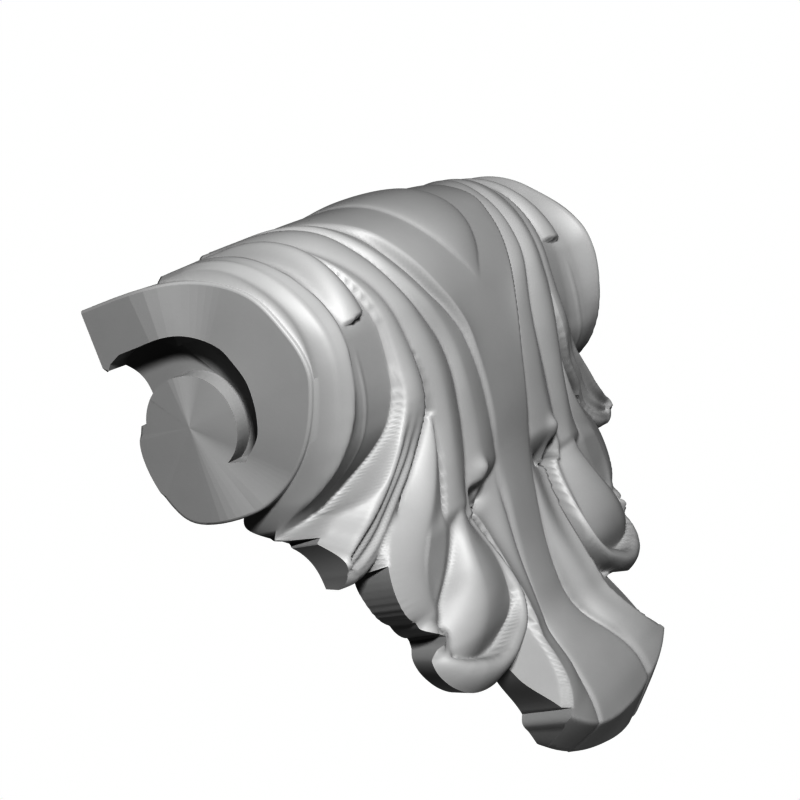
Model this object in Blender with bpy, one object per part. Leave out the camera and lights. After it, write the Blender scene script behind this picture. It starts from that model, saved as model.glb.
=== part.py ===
"""Scroll corbel with an acanthus leaf laid over its front.

One carved piece. X runs across the front, Y to the wall, Z up. The origin is at the
middle of the flat face that meets the wall.
"""
import bpy
import bmesh
import numpy as np
from mathutils import Vector

# Driving sizes. Shapes are set out in modules: F forward, E down, both from the eye of
# the scroll, x across from the middle, t down the leaf from the middle of its front.
MODULE = 0.088
HALF_WIDTH = 1.57
WALL_F = -0.335
WALL_TOP_E = -0.68
WALL_LOW_E = -0.40
GRID = 0.0610
NODE_GAP = 0.04
END_GAP = 0.12
SAMPLE_BACK = 0.9
LEAST_THICKNESS = 0.03
MERGE = 0.00002
FADE_FROM = 0.25
FADE_OVER = 0.5
THROAT = [(-.36, -.33), (-.285, -.405)]
THROAT_LOW = (-.42, -.10)
ARC_STEPS = 16
ARC_FROM = 62
ARC_TO = -160
CUTTER_REACH = 0.1
CHAMFER = 0.03
POCKET_DEPTH = 0.10
EYE_RADIUS = 0.235
EYE_E = -0.01
LEAF_START_T = -1.12
LEAF_END_T = 2.44
STONE_GREY = 0.24
STONE_ROUGHNESS = 0.75
NAME = "carved_bracket"

SCROLL = [
    (-.335, -.68), (.09, -.68), (.26, -.62), (.40, -.55), (.50, -.48), (.57, -.39), (.61, -.27),
    (.65, -.19), (.66, -.10), (.66, -.04), (.64, .01), (.60, .10), (.54, .20), (.47, .28), (.39, .35),
    (.29, .41), (.19, .45), (.13, .46), (-.10, .45), (-.21, .40), (-.25, .32), (-.28, .26),
    (-.30, .18), (-.31, .11), (-.31, .04), (-.30, -.02), (-.27, -.07), (-.23, -.13), (-.22, -.21),
    (-.23, -.29), (-.27, -.35), (-.335, -.40)]
BAND = [
    (-.30, -.41), (-.22, -.43), (-.11, -.43), (.01, -.43), (.11, -.41), (.20, -.36), (.28, -.29),
    (.32, -.21), (.35, -.12), (.35, -.03), (.33, .06), (.29, .14), (.19, .22)]

for old in list(bpy.data.objects):
    bpy.data.objects.remove(old, do_unlink=True)


def curve(*knots):
    """smooth curve through (station, value) knots, held level beyond its ends"""
    k = np.array(knots, float)
    x, y = k[:, 0], k[:, 1]
    h = np.diff(x)
    d = np.diff(y) / h
    m = np.empty_like(y)
    m[1:-1] = (d[:-1] * h[1:] + d[1:] * h[:-1]) / (h[:-1] + h[1:])
    m[0], m[-1] = d[0], d[-1]

    def f(t):
        t = np.clip(t, x[0], x[-1])
        i = np.clip(np.searchsorted(x, t, side="right") - 1, 0, len(h) - 1)
        s = (t - x[i]) / h[i]
        return ((1 + 2 * s) * (1 - s) ** 2 * y[i] + s * (1 - s) ** 2 * h[i] * m[i]
                + s * s * (3 - 2 * s) * y[i + 1] + s * s * (s - 1) * h[i] * m[i + 1])
    return f


def ease(a, b, x):
    s = np.clip((x - a) / (b - a), 0, 1)
    return s * s * (3 - 2 * s)


def soft_max(a, b, k=0.008):
    h = np.clip(0.5 + 0.5 * (a - b) / k, 0, 1)
    return a * h + b * (1 - h) + k * h * (1 - h)


def soft_min(a, b, k=0.008):
    return -soft_max(-a, -b, k)


class Line:
    """a centre line through (u, t) points"""

    def __init__(self, *points, samples=40):
        p = np.array(points, float)
        n = np.arange(len(p))
        self.n = np.linspace(0, len(p) - 1, samples)
        self.u = curve(*np.c_[n, p[:, 0]])(self.n)
        self.t = curve(*np.c_[n, p[:, 1]])(self.n)

    def local(self, u, t):
        """station along the line, signed distance to its side, distance"""
        best = np.full(u.shape, 1e9)
        station = np.zeros(u.shape)
        side = np.zeros(u.shape)
        for i in range(len(self.n) - 1):
            du, dt = self.u[i + 1] - self.u[i], self.t[i + 1] - self.t[i]
            pu, pt = u - self.u[i], t - self.t[i]
            w = np.clip((pu * du + pt * dt) / (du * du + dt * dt), 0, 1)
            ex, ey = pu - w * du, pt - w * dt
            dist = np.hypot(ex, ey)
            near = dist < best
            best = np.where(near, dist, best)
            station = np.where(near, self.n[i] + w * (self.n[i + 1] - self.n[i]), station)
            side = np.where(near, np.sign(dt * ex - du * ey) * dist, side)
        return station, side, best


# stem and ribs
AXIS_R = curve((-.97, .622), (-.6, .65), (-.35, .645), (-.1, .62), (.15, .605), (.4, .575), (.6, .535),
               (.8, .475), (1.0, .43), (1.25, .385), (1.5, .365), (1.65, .37), (1.8, .43), (1.95, .50),
               (2.1, .545), (2.24, .545))
GROOVE_U = curve((-1.12, .92), (-.9, .80), (-.7, .71), (-.47, .62), (-.336, .56), (-.204, .50),
                 (-.066, .43), (.04, .37), (.146, .32), (.27, .285), (.42, .25), (.557, .23),
                 (.69, .215), (.82, .20), (.92, .19), (1.11, .175), (1.37, .17), (1.6, .185),
                 (1.8, .22), (2.0, .30), (2.2, .34))
GROOVE_R = curve((-.97, .60), (-.7, .60), (-.47, .59), (-.336, .562), (-.204, .552), (-.066, .555),
                 (.04, .575), (.146, .585), (.27, .578), (.42, .555), (.557, .525), (.69, .49),
                 (.82, .45), (.92, .425), (1.11, .395), (1.37, .35), (1.5, .335), (1.62, .33),
                 (1.74, .35), (1.9, .46), (2.05, .53), (2.3, .545))
RIB1_U = curve((-1.12, 1.0), (-.9, .88), (-.65, .775), (-.5, .725), (-.35, .68), (-.22, .635),
               (-.1, .585), (0, .53), (.1, .475), (.2, .435), (.4, .40), (.6, .385), (.75, .40),
               (.83, .42), (.95, .43))
RIB1_R = curve((-.97, .612), (-.65, .625), (-.5, .615), (-.35, .607), (-.22, .602), (-.1, .605),
               (0, .608), (.1, .606), (.2, .60), (.4, .575), (.6, .535), (.75, .505), (.83, .487),
               (.9, .46), (1.0, .42))
VALLEY_U = curve((-1.12, 1.03), (-.9, .92), (-.6, .80), (-.4, .745), (-.2, .69), (-.05, .63),
                 (.05, .58), (.15, .53), (.3, .495), (.5, .50), (.7, .52), (.9, .56), (1.0, .58))
VALLEY_R = curve((-.97, .603), (-.6, .60), (-.4, .583), (-.2, .578), (-.05, .585), (.1, .588),
                 (.3, .572), (.5, .54), (.7, .495), (.9, .44), (1.1, .41))
RIB2_U = curve((-1.12, 1.06), (-.9, .96), (-.6, .86), (-.4, .82), (-.2, .775), (0, .715), (.15, .68),
               (.3, .655), (.5, .645), (.7, .65), (.9, .66), (1.05, .66))
RIB2_R = curve((-.97, .607), (-.6, .62), (-.4, .607), (-.2, .605), (0, .61), (.15, .612), (.3, .60),
               (.5, .56), (.7, .51), (.9, .46), (1.1, .43))
CREASE_U = curve((-1.12, 1.12), (-.9, 1.07), (-.7, 1.05), (-.5, .99), (-.3, .93), (-.15, .875),
                 (0, .83), (.12, .80), (.25, .765), (.4, .74), (.55, .735), (.7, .745), (.85, .775),
                 (1.0, .83))
CREASE_R = curve((-.97, .59), (-.5, .585), (-.3, .57), (-.15, .572), (0, .585), (.12, .592),
                 (.25, .588), (.4, .56), (.55, .52), (.7, .475), (.85, .44), (1.0, .42))


def rise(v, p=1.0):
    return np.sin(0.5 * np.pi * np.clip(v, 0, 1)) ** p


def span(a, u0, r0, u1, r1, up, p=1.0):
    v = (a - u0) / np.maximum(u1 - u0, 1e-4)
    w = rise(v, p) if up else 1 - rise(1 - v, p)
    return r0 + (r1 - r0) * w


BANK = curve((-1.0, .0), (-.6, .015), (-.45, .04), (-.3, .055), (0, .06), (.15, .05), (.35, .025),
             (.6, .012), (.9, .012))


def ribs(a, t):
    gu, gr = GROOVE_U(t), GROOVE_R(t)
    u1, r1 = RIB1_U(t), RIB1_R(t)
    v2, w2 = VALLEY_U(t), VALLEY_R(t) - .016
    u2, r2 = RIB2_U(t), RIB2_R(t)
    cu, cr = CREASE_U(t), CREASE_R(t) - .02 * ease(.75, .5, t)
    v = np.clip(a / gu, 0, 1)
    bank = BANK(t)
    h = gr + (AXIS_R(t) - gr - bank) * np.sqrt(np.clip(1 - v ** 2.4, 0, 1)) + bank * ease(0, .035, gu - a)
    h = np.where(a > gu, span(a, gu, gr, u1, r1, True, .8), h)
    h = np.where(a > u1, span(a, u1, r1, v2, w2, False), h)
    h = np.where(a > v2, span(a, v2, w2, u2, r2, True), h)
    h = np.where(a > u2, span(a, u2, r2, cu, cr, False, .8), h)
    h = h + .028 * np.exp(-((a - .425) ** 2 + (t - .825) ** 2) / .05 ** 2)
    h = h - .07 * ease(.92, 1.07, t) * ease(.52, .6, a)
    inward = ease(.46, .36, a)
    h = h - .28 * ease(.80, 1.15, t) * inward
    bottom = .905 + .20 * inward + ease(.44, .60, a) * .16
    return h, np.minimum(cu - a, bottom - t)


TONGUE_U = curve((-1.12, .37), (-.8, .31), (-.65, .29), (-.5, .27), (-.35, .22), (-.2, .13),
                 (-.08, .04), (0, .01))


def tongue(a, t):
    w = np.maximum(TONGUE_U(t), 1e-3)
    lift = .03 * ease(-.02, -.3, t) * ease(-1.15, -.9, t)
    return lift * np.sqrt(np.clip(1 - (a / w) ** 2, 0, 1))


# first lobe: steep flank at the edge, bright band up to its ridge, body that turns under
EDGE_1 = 1.47
RIDGE_U = curve((-1.12, 1.36), (-.8, 1.36), (-.5, 1.35), (-.2, 1.335), (-.05, 1.34), (.083, 1.35),
                (.25, 1.36), (.331, 1.37), (.447, 1.40), (.545, 1.43), (.607, 1.45), (.66, 1.463))
RIDGE_R = curve((-.97, .575), (-.6, .575), (-.37, .575), (-.2, .585), (-.05, .597), (.083, .592),
                (.25, .545), (.331, .508), (.447, .425), (.545, .312), (.607, .19), (.66, .03),
                (.8, -.10))
FOOT_R = curve((-.97, .545), (-.7, .52), (-.53, .50), (-.343, .49), (-.19, .485), (-.05, .475),
               (.07, .46), (.17, .42), (.26, .37), (.35, .31), (.45, .22), (.53, .10), (.58, .03),
               (.66, -.02), (.8, -.12))
BODY_R = curve((-.97, .545), (-.5, .535), (-.2, .53), (0, .53), (.15, .515), (.26, .495), (.35, .465),
               (.45, .41), (.54, .31), (.61, .20), (.66, .13), (.70, .07), (.77, -.04), (.83, -.14))
BULGE = .055


def lobe1(a, t, x):
    ur, rr, rf = RIDGE_U(t), RIDGE_R(t), FOOT_R(t)
    v = np.clip((a - ur) / (EDGE_1 - ur), 0, 1)
    outer = rr - (rr - rf) * (.62 * v ** 1.25 + .38 * v ** 6) + .006 * np.exp(-((v - .62) / .1) ** 2)
    body = BODY_R(t) - .03 * ease(1.0, 1.25, a) * ease(.0, -.3, t)
    w = np.clip((ur - a) / .11, 0, 1)
    inner = rr + (body - rr) * w * (2 - w) + .005 * np.exp(-((ur - a - .16) / .012) ** 2) * ease(.0, .2, t)
    h = np.where(a > ur, outer, inner) + BULGE * ease(1.1, 1.35, x) * ease(-.5, 0, t) * ease(.75, .55, t)
    tip = .82 - .02 * np.clip((a - 1.38) / .09, 0, 1) ** 2 - .05 * np.clip((1.38 - a) / .2, 0, 1)
    return h, np.minimum(EDGE_1 - a, tip - t)


FOLD_U = curve((-1.12, 1.13), (-.8, 1.10), (-.5, 1.09), (-.3, 1.10), (-.1, 1.11))
FOLD_W = curve((-1.12, .05), (-.8, .06), (-.5, .075), (-.1, .11))
FOLD_R = curve((-.97, .59), (-.6, .60), (-.3, .59), (-.09, .582))


def fold(a, t):
    v = (a - FOLD_U(t)) / FOLD_W(t)
    h = FOLD_R(t) - .07 * np.clip(np.abs(v), 0, 2) ** 2
    return h, (-.095 + .02 * v) - t


# second lobe: flank, fluted top, round tip
LOBE2 = Line((1.06, -1.0), (1.0, -.6), (.93, -.3), (.88, -.05), (.865, .15), (.885, .37), (.97, .545),
             (1.095, .68), (1.225, .82), (1.35, .893), (1.44, .925))
LOBE2_W = curve((0, .05), (3, .06), (4, .07), (5, .075), (6, .08), (7, .08), (8, .085), (9, .08),
                (10, .06))
LOBE2_TOP = curve((0, .58), (2, .57), (3, .56), (4, .545), (5, .53), (6, .49), (7, .455), (8, .38),
                  (9, .335), (10, .31))
LOBE2_LOW = curve((0, .575), (2, .56), (3, .565), (4, .57), (5, .555), (6, .47), (7, .41), (8, .33),
                  (9, .29), (10, .28))


def lobe2(a, t, x):
    s, side, dist = LOBE2.local(a, t)
    w = LOBE2_W(s)
    v = side / w                               # +1 at the outer edge
    top, low = LOBE2_TOP(s), LOBE2_LOW(s)
    c = np.clip(v, -1, 1)
    h = .5 * (top + low) + .5 * (top - low) * c
    h = h + .02 * (1 - c * c) * ease(1, 3.5, s) * ease(6.0, 4.5, s) - .03 * (1 - c * c) * ease(5.5, 8, s)
    h = h + .009 * np.cos(c * 3 * np.pi) * ease(5, 7, s) - .012 * np.clip((c - .75) / .25, 0, 1) ** 2
    late = ease(7, 8.5, s)
    beyond = np.clip(dist - w, 0, None)
    over = np.clip(beyond / .06, 0, 1) * late
    h = h - .17 * (1 - np.sqrt(np.clip(1 - over ** 2, 0, 1))) * ease(.3, -.3, v) + BULGE * ease(1.1, 1.35, x)
    h = h - 1.3 * beyond * ease(0, .3, v)
    margin = w + late * (.06 + .03 * ease(0, .6, v)) - dist
    return h, np.minimum(np.minimum(margin, 1.505 - a), 1.015 - t)


# third lobe
LOBE3A = Line((.745, .47), (.78, .62), (.835, .75), (.91, .86), (1.0, .96), (1.07, 1.07), (1.10, 1.2),
              (1.09, 1.3))
LOBE3A_W = curve((0, .02), (1, .07), (2, .11), (3, .14), (4, .17), (5, .20), (6, .18), (7, .11))
LOBE3A_R = curve((0, .52), (1, .495), (2, .468), (3, .445), (4, .42), (5, .395), (6, .375), (7, .36))


def lobe3a(a, t):
    s, side, dist = LOBE3A.local(a, t)
    w = LOBE3A_W(s)
    v = side / w
    drop = curve((0, .04), (2, .08), (3, .085), (4, .08), (5, .07), (7, .05))(s)
    h = LOBE3A_R(s) - drop * np.clip(v, 0, 1.2) ** 1.5 - .05 * np.clip(-v, 0, 1.4) ** 1.3
    return h, w - dist


LIP = Line((.53, .97), (.485, 1.1), (.458, 1.24), (.445, 1.38), (.462, 1.49), (.525, 1.59),
           (.62, 1.66), (.74, 1.72), (.88, 1.755), (1.02, 1.735), (1.12, 1.67), (1.175, 1.58),
           (1.175, 1.5), (1.12, 1.44), samples=60)
LIP_R = curve((0, .385), (1, .395), (2, .43), (3, .465), (4, .48), (5, .485), (6, .485), (7, .48),
              (8, .465), (9, .445), (10, .42), (11, .39), (12, .37), (13, .36))
LIP_W = curve((0, .03), (1, .035), (2, .04), (3, .045), (4, .05), (5, .065), (6, .085), (7, .10),
              (8, .13), (9, .145), (10, .135), (11, .115), (12, .10), (13, .08))
LIP_TOP = curve((0, .3), (3, .3), (5, .4), (7, .6), (9, .75), (13, .75))
LIP_OUT = curve((0, .01), (4, .02), (6, .05), (8, .085), (10, .09), (12, .07))
LIP_IN = curve((0, .01), (3, .02), (6, .02), (8, .02), (10, .02), (12, .02))


def lip(a, t):
    s, side, dist = LIP.local(a, t)
    w, top = LIP_W(s), LIP_TOP(s)
    q = side / w
    out = np.clip((top - q) / top, 0, 1.0)
    into = np.clip((q - top) / (1 - top), 0, 1.2)
    h = LIP_R(s) - LIP_OUT(s) * out ** 2 - LIP_IN(s) * into ** 1.6
    return h, np.minimum(side, w - side)


CREST3A_U = curve((.62, .74), (.75, .80), (.86, .885), (.96, .985), (1.07, 1.06), (1.2, 1.10),
                  (1.3, 1.09), (1.45, 1.12))
EDGE_U = curve((.80, .60), (.90, .57), (.98, .535), (1.1, .495), (1.24, .468), (1.38, .455),
               (1.49, .475), (1.58, .53), (1.66, .62))
BED_U = curve((.80, .64), (.90, .60), (1.0, .56), (1.1, .53), (1.2, .505), (1.385, .495), (1.5, .535),
              (1.58, .66))
BED_R = curve((.80, .47), (.90, .42), (1.0, .385), (1.1, .395), (1.2, .415), (1.385, .425), (1.5, .41),
              (1.58, .38))
CREST_U = curve((.80, .66), (.90, .67), (1.0, .69), (1.1, .725), (1.2, .755), (1.3, .78), (1.4, .81),
                (1.5, .86), (1.6, .90))
CREST_R = curve((.80, .487), (.90, .465), (1.0, .445), (1.1, .455), (1.2, .472), (1.3, .485),
                (1.4, .48), (1.5, .445), (1.6, .37))
FOLD3_U = curve((.80, .735), (.90, .735), (1.0, .755), (1.1, .80), (1.2, .875), (1.3, 1.0),
                (1.4, 1.08), (1.5, 1.12))
FOLD3_R = curve((.80, .45), (.90, .425), (1.0, .40), (1.1, .375), (1.2, .35), (1.3, .335), (1.4, .33),
                (1.5, .33))


def bowl(a, t):
    """hollow of the third lobe: lip edge, bed, ridge and the fold beside the chattered crest"""
    ub, rb = BED_U(t), BED_R(t)
    ur, rr = CREST_U(t), CREST_R(t)
    uc, rc = FOLD3_U(t), FOLD3_R(t)
    h = np.where(a > ub, span(a, ub, rb, ur, rr, True, 1.05), rb)
    h = np.where(a > ur, span(a, ur, rr, uc, rc, False, .9), h)
    h = np.where(a > uc, rc + .02 * ease(0, .1, a - uc), h) - .03 * ease(1.0, .86, t)
    low = 1.66 - .8 * np.clip(a - .9, 0, None)
    outer = np.maximum(uc + .03, CREST3A_U(t)) - a
    return h, np.minimum(np.minimum(a - EDGE_U(t), outer), np.minimum(low - t, t - .70))


# foot of the stem
STEM_EDGE = curve((.85, .56), (.95, .48), (1.05, .425), (1.2, .395), (1.35, .385), (1.5, .39),
                  (1.6, .40), (1.7, .42), (1.8, .445), (1.9, .49), (2.0, .57), (2.06, .635),
                  (2.12, .61), (2.2, .58), (2.4, .5))
RIM_R = curve((.85, .36), (1.0, .36), (1.1, .37), (1.3, .40), (1.5, .44), (1.6, .455), (1.7, .465),
              (1.8, .505), (1.9, .545), (2.0, .57), (2.06, .575), (2.4, .56))


def stem(a, t, x):
    gu, gr = GROOVE_U(t), GROOVE_R(t)
    e, rr = STEM_EDGE(t), RIM_R(t)
    v = np.clip(a / gu, 0, 1)
    mid = gr + (AXIS_R(t) - gr) * np.sqrt(np.clip(1 - v ** 2.2, 0, 1))
    v = np.clip((a - gu) / np.maximum(e - gu, 1e-3), 0, 1)
    side = gr + (rr - gr) * rise(v, .75) + .010 * np.sin(2 * np.pi * v) * ease(2.0, 1.7, t)
    h = np.where(a < gu, mid, side) - .014 * np.exp(-((a - gu) / .02) ** 2)
    pit = np.exp(-((a - .46) / .10) ** 2 - ((t - .955) / .04) ** 2)
    h = h - .12 * pit
    rim = 2.245 - .185 * (np.clip(a, 0, .9) / .63) ** 2.4
    wider = ease(-.5, .5, x)
    reach = .10 + .12 * wider
    turn = np.clip((t - rim) / reach, 0, 1)
    h = h - (.22 - .03 * wider) * turn ** 1.1
    side = e + .05 * wider * ease(2.06, 2.2, t) - a
    return h, np.minimum(np.minimum(side, rim + reach - t), t - .80)


def plate(a, t):
    h = .45 + .5 * (t - 1.87) - .40 * (a - .60)
    outer = .668 - .07 * ease(1.80, 2.05, t) - a
    low = 2.04 - .25 * (.67 - a) - t
    return h, np.minimum(np.minimum(outer, low), np.minimum(t - .9, a - STEM_EDGE(t) + .03))


SLOT = .08


def web(a, t):
    """floor behind the eyelet and between the third lobe and the stem"""
    h = np.full(a.shape, SLOT)
    return h, np.minimum(np.minimum(.56 - a, t - .8), np.minimum(1.62 - t, a - STEM_EDGE(t) + .01))


FALL = 5.0
STEEP = 5.5
JOIN = .012
LEAST_R = -.12
EYELET_U, EYELET_HALF_U = .50, .035
EYELET_T, EYELET_HALF_T = .965, .055
EYELET_DEPTH = .08
BEAD_U, BEAD_T = 1.15, 1.42
BEAD_RADIUS = .09
BEAD_RISE = .03


def surface(x, t):
    """stand-off and cover of the leaf at (x, t); cover is positive on the leaf"""
    a = np.abs(x)
    best = np.full(a.shape, -1.0)
    cover = np.full(a.shape, -1.0)
    gentle = (ribs(a, t), lobe1(a, t, x), lobe2(a, t, x), lobe3a(a, t), bowl(a, t), plate(a, t))
    steep = (lip(a, t), stem(a, t, x), web(a, t))
    for layers, fall in ((gentle, FALL), (steep, STEEP)):
        for h, margin in layers:
            best = soft_max(best, h - fall * np.clip(-margin, 0, None), JOIN)
            cover = np.maximum(cover, margin)
    h, margin = fold(a, t)
    best = soft_max(best, h - FALL * np.clip(-margin, 0, None), JOIN)
    across, along = (a - EYELET_U) / EYELET_HALF_U, (t - EYELET_T) / EYELET_HALF_T
    best = best - EYELET_DEPTH * np.exp(-across ** 4 - along ** 4)
    bead = ((a - BEAD_U) ** 2 + (t - BEAD_T) ** 2) / BEAD_RADIUS ** 2
    best = best + BEAD_RISE * np.clip(1 - bead, 0, 1) ** 1.5
    return np.maximum(best, LEAST_R) + tongue(a, t), cover


AXIS_F, AXIS_E, TURN = .20, -.12, .62


def place(x, t, r):
    """front point of the leaf in (F, E) for stand-off r"""
    ang = np.clip(-t / TURN, 0, np.pi / 2)
    back = np.clip(-t - TURN * np.pi / 2, 0, None)
    F = AXIS_F + r * np.cos(ang) - back
    E = AXIS_E - r * np.sin(ang) + np.clip(t, 0, None)
    return F, E


BACK = curve((-.12, .45), (.1, .40), (.3, .25), (.4, .12), (.46, .05), (.51, .03), (.69, .28),
             (1.0, .36), (1.34, .42), (1.82, .52), (1.93, .53), (2.3, .54))
CORE_R = .25


def place_back(x, t):
    """point behind the front point, inside the scroll or on the plain back"""
    F, E = place(x, t, np.full(np.shape(x), CORE_R))
    return np.where(t > 0, BACK(E), F), E


def world(x, F, E):
    """point in metres"""
    middle = .5 * (WALL_TOP_E + WALL_LOW_E)
    return Vector((float(x) * MODULE, (WALL_F - float(F)) * MODULE, (middle - float(E)) * MODULE))


def make_object(name, bm):
    mesh = bpy.data.meshes.new(name)
    bmesh.ops.recalc_face_normals(bm, faces=bm.faces)
    bm.to_mesh(mesh)
    bm.free()
    ob = bpy.data.objects.new(name, mesh)
    bpy.context.scene.collection.objects.link(ob)
    return ob


def leaf_solid():
    """leaf from its covered cells: a carved front, a plain back and straight sides"""
    count = int(np.ceil(HALF_WIDTH / GRID))
    xs = np.arange(-count, count + 1) * GRID
    rows = int(np.ceil((LEAF_END_T - LEAF_START_T) / GRID)) + 1
    ts = LEAF_START_T + np.arange(rows) * GRID
    X, T = np.meshgrid(xs, ts)
    R0, C = surface(X, T)
    least = NODE_GAP * GRID
    C = np.where(np.abs(C) < least, np.where(C < 0, -least, least), C)
    points = {}
    cells = []

    def node(i, j):
        key = (i, j)
        if key not in points:
            points[key] = (X[i, j], T[i, j], X[i, j], T[i, j])
        return key

    def crossing(p, q):
        key = (min(p, q), max(p, q))
        if key not in points:
            inside, outside = (p, q) if C[p] > 0 else (q, p)
            w = C[inside] / (C[inside] - C[outside])
            w = min(max(w, END_GAP), 1 - END_GAP)
            x = X[inside] + w * (X[outside] - X[inside])
            t = T[inside] + w * (T[outside] - T[inside])
            w = w * SAMPLE_BACK
            sample_x = X[inside] + w * (X[outside] - X[inside])
            sample_t = T[inside] + w * (T[outside] - T[inside])
            points[key] = (x, t, sample_x, sample_t)
        return key

    for i in range(rows - 1):
        for j in range(len(xs) - 1):
            ring = [(i, j), (i, j + 1), (i + 1, j + 1), (i + 1, j)]
            inside = [C[p] > 0 for p in ring]
            if not any(inside):
                continue
            poly = []
            for k in range(4):
                p, q = ring[k], ring[(k + 1) % 4]
                if inside[k]:
                    poly.append(node(*p))
                if inside[k] != inside[(k + 1) % 4]:
                    poly.append(crossing(p, q))
            if inside[0] == inside[2] and inside[1] == inside[3] and inside[0] != inside[1]:
                if inside[0]:
                    cells.append([poly[5], poly[0], poly[1]])
                    cells.append([poly[2], poly[3], poly[4]])
                else:
                    cells.append([poly[0], poly[1], poly[2]])
                    cells.append([poly[3], poly[4], poly[5]])
            else:
                cells.append(poly)
    keys = list(points)
    index = {k: n for n, k in enumerate(keys)}
    P = np.array([points[k] for k in keys])
    r, _ = surface(P[:, 2], P[:, 3])
    F, E = place(P[:, 0], P[:, 1], r)
    FB, EB = place_back(P[:, 0], P[:, 1])
    FB = np.minimum(FB, F - LEAST_THICKNESS)
    bm = bmesh.new()
    front = [bm.verts.new(world(P[n, 0], F[n], E[n])) for n in range(len(keys))]
    back = [bm.verts.new(world(P[n, 0], FB[n], EB[n])) for n in range(len(keys))]
    edges = {}
    for poly in cells:
        ids = [index[k] for k in poly]
        bm.faces.new([front[n] for n in ids])
        bm.faces.new([back[n] for n in reversed(ids)])
        for k in range(len(ids)):
            p, q = ids[k], ids[(k + 1) % len(ids)]
            if (q, p) in edges:
                del edges[(q, p)]
            else:
                edges[(p, q)] = True
    for p, q in edges:
        bm.faces.new([front[q], front[p], back[p], back[q]])
    bmesh.ops.triangulate(bm, faces=bm.faces)
    return make_object(NAME, bm)


def inset(outline, amount):
    """outline moved inwards by amount, less near the wall"""
    p = np.array(outline)
    before, after = np.roll(p, 1, 0), np.roll(p, -1, 0)
    along = after - before
    normal = np.c_[-along[:, 1], along[:, 0]]
    normal /= np.linalg.norm(normal, axis=1, keepdims=True)
    fade = np.clip((p[:, 0] + FADE_FROM) / FADE_OVER, 0, 1)[:, None]
    return p + normal * amount * fade


def prism(name, outline, stations):
    """outline run along x, one inset for each station"""
    bm = bmesh.new()
    loops = []
    for x, amount in stations:
        pts = inset(outline, amount)
        loops.append([bm.verts.new(world(x, f, e)) for f, e in pts])
    for a, b in zip(loops[:-1], loops[1:]):
        for k in range(len(a)):
            n = (k + 1) % len(a)
            bm.faces.new([a[k], a[n], b[n], b[k]])
    bm.faces.new(loops[0])
    bm.faces.new(reversed(loops[-1]))
    bmesh.ops.triangulate(bm, faces=bm.faces)
    return make_object(name, bm)


def pocket_outline():
    """sunk turn of the scroll between the band and the eye, open at the throat"""
    turn = np.linspace(np.radians(ARC_FROM), np.radians(ARC_TO), ARC_STEPS)
    arc = [(EYE_RADIUS * np.cos(v), EYE_E + EYE_RADIUS * np.sin(v)) for v in turn]
    return THROAT + BAND[1:] + arc + [THROAT_LOW]


def join(target, other, operation, solver="EXACT"):
    mod = target.modifiers.new(operation.lower(), "BOOLEAN")
    mod.operation = operation
    mod.solver = solver
    mod.object = other
    other.hide_render = True
    other.display_type = "WIRE"
    bpy.context.view_layer.update()
    depsgraph = bpy.context.evaluated_depsgraph_get()
    mesh = bpy.data.meshes.new_from_object(target.evaluated_get(depsgraph))
    target.modifiers.clear()
    target.data = mesh
    bpy.data.objects.remove(other, do_unlink=True)


bracket = leaf_solid()
ends = [(-HALF_WIDTH, CHAMFER), (-HALF_WIDTH + CHAMFER, 0), (HALF_WIDTH - CHAMFER, 0), (HALF_WIDTH, CHAMFER)]
scroll = prism("scroll", SCROLL, ends)
for side in (-1, 1):
    floor = side * (HALF_WIDTH - POCKET_DEPTH)
    cutter = prism("pocket", pocket_outline(), [(floor, 0), (side * (HALF_WIDTH + CUTTER_REACH), 0)])
    join(scroll, cutter, "DIFFERENCE", "MANIFOLD")
join(bracket, scroll, "UNION")

bm = bmesh.new()
bm.from_mesh(bracket.data)
bmesh.ops.remove_doubles(bm, verts=bm.verts, dist=MERGE)
bmesh.ops.triangulate(bm, faces=bm.faces)
bmesh.ops.dissolve_degenerate(bm, edges=bm.edges, dist=MERGE)
bmesh.ops.recalc_face_normals(bm, faces=bm.faces)
bm.to_mesh(bracket.data)
bm.free()

stone = bpy.data.materials.new("stone")
stone.use_nodes = True
shader = stone.node_tree.nodes["Principled BSDF"]
shader.inputs["Base Color"].default_value = (STONE_GREY, STONE_GREY, STONE_GREY, 1)
shader.inputs["Roughness"].default_value = STONE_ROUGHNESS
bracket.data.materials.clear()
bracket.data.materials.append(stone)
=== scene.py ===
import math
import bpy
import bmesh
import numpy as np
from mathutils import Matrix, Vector


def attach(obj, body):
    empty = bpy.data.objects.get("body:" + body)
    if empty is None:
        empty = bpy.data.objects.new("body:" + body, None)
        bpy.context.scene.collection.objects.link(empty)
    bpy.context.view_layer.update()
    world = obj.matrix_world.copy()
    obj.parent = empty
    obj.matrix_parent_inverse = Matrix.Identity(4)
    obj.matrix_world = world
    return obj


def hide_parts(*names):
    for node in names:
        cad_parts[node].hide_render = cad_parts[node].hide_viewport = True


bl_info = {
    "name": "Carved Acanthus Corbel",
    "version": (1, 0, 0),
    "blender": (4, 5, 0),
    "location": "View3D > Sidebar > Corbel",
    "description": "Models a scroll corbel with an acanthus leaf over its front, and its studio",
    "category": "Object",
}

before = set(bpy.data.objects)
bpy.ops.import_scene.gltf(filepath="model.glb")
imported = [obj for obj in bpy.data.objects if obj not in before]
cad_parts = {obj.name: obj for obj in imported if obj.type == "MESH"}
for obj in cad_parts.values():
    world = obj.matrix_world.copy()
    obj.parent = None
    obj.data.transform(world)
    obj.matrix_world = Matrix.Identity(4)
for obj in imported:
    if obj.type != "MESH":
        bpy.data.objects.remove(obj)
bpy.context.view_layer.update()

PIECE = "corbel_carving"
NODE = "carved_bracket"

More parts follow.
